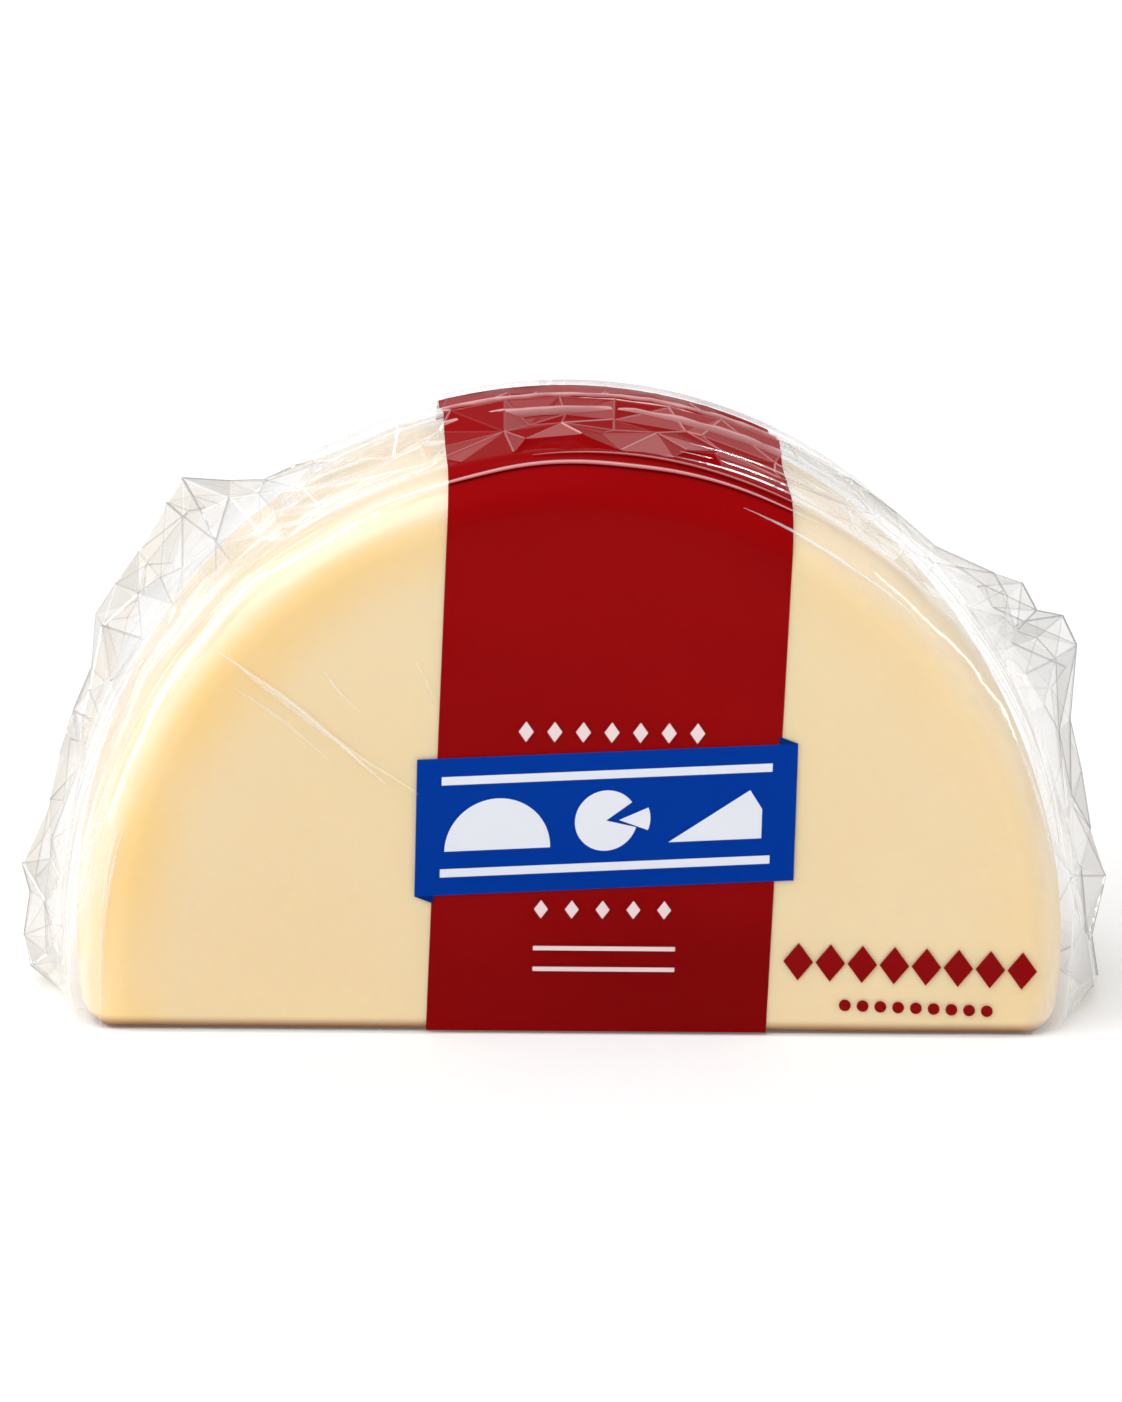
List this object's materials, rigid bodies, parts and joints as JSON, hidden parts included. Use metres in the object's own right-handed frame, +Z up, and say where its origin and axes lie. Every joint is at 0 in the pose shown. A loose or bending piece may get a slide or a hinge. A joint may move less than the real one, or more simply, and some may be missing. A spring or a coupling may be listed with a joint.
{
  "type": "half wheel of provolone cheese in clear film",
  "caption": "Half wheel of pale firm cheese standing on its cut side, in a clear crumpled bag with a red printed band over the rim and a slanted blue banner.",
  "frame": {"origin": "middle of the flat cut side that the half wheel stands on, half way through its thickness", "axes": "+X along the cut side, to the right as the printed front is seen; +Y through the thickness, from the printed front to the back; +Z up"},
  "size_m": [0.2223, 0.0744, 0.1211],
  "materials": {
    "cheese": "firm pale cheese, smooth and slightly translucent, cream in the middle of the face and yellower towards the rim",
    "clear_film": "thin clear glossy film, tight on the flat faces, wrinkled along the rim, crumpled in the two ears",
    "print_red": "opaque dark red print under glossy film",
    "print_blue": "opaque blue print under glossy film, darker on the folded tails"
  },
  "bodies": {
    "root": {"cheese": "cheese", "film_wrap": "clear_film", "print_band": "print_red", "print_banner": "print_blue"}
  },
  "joints": []
}
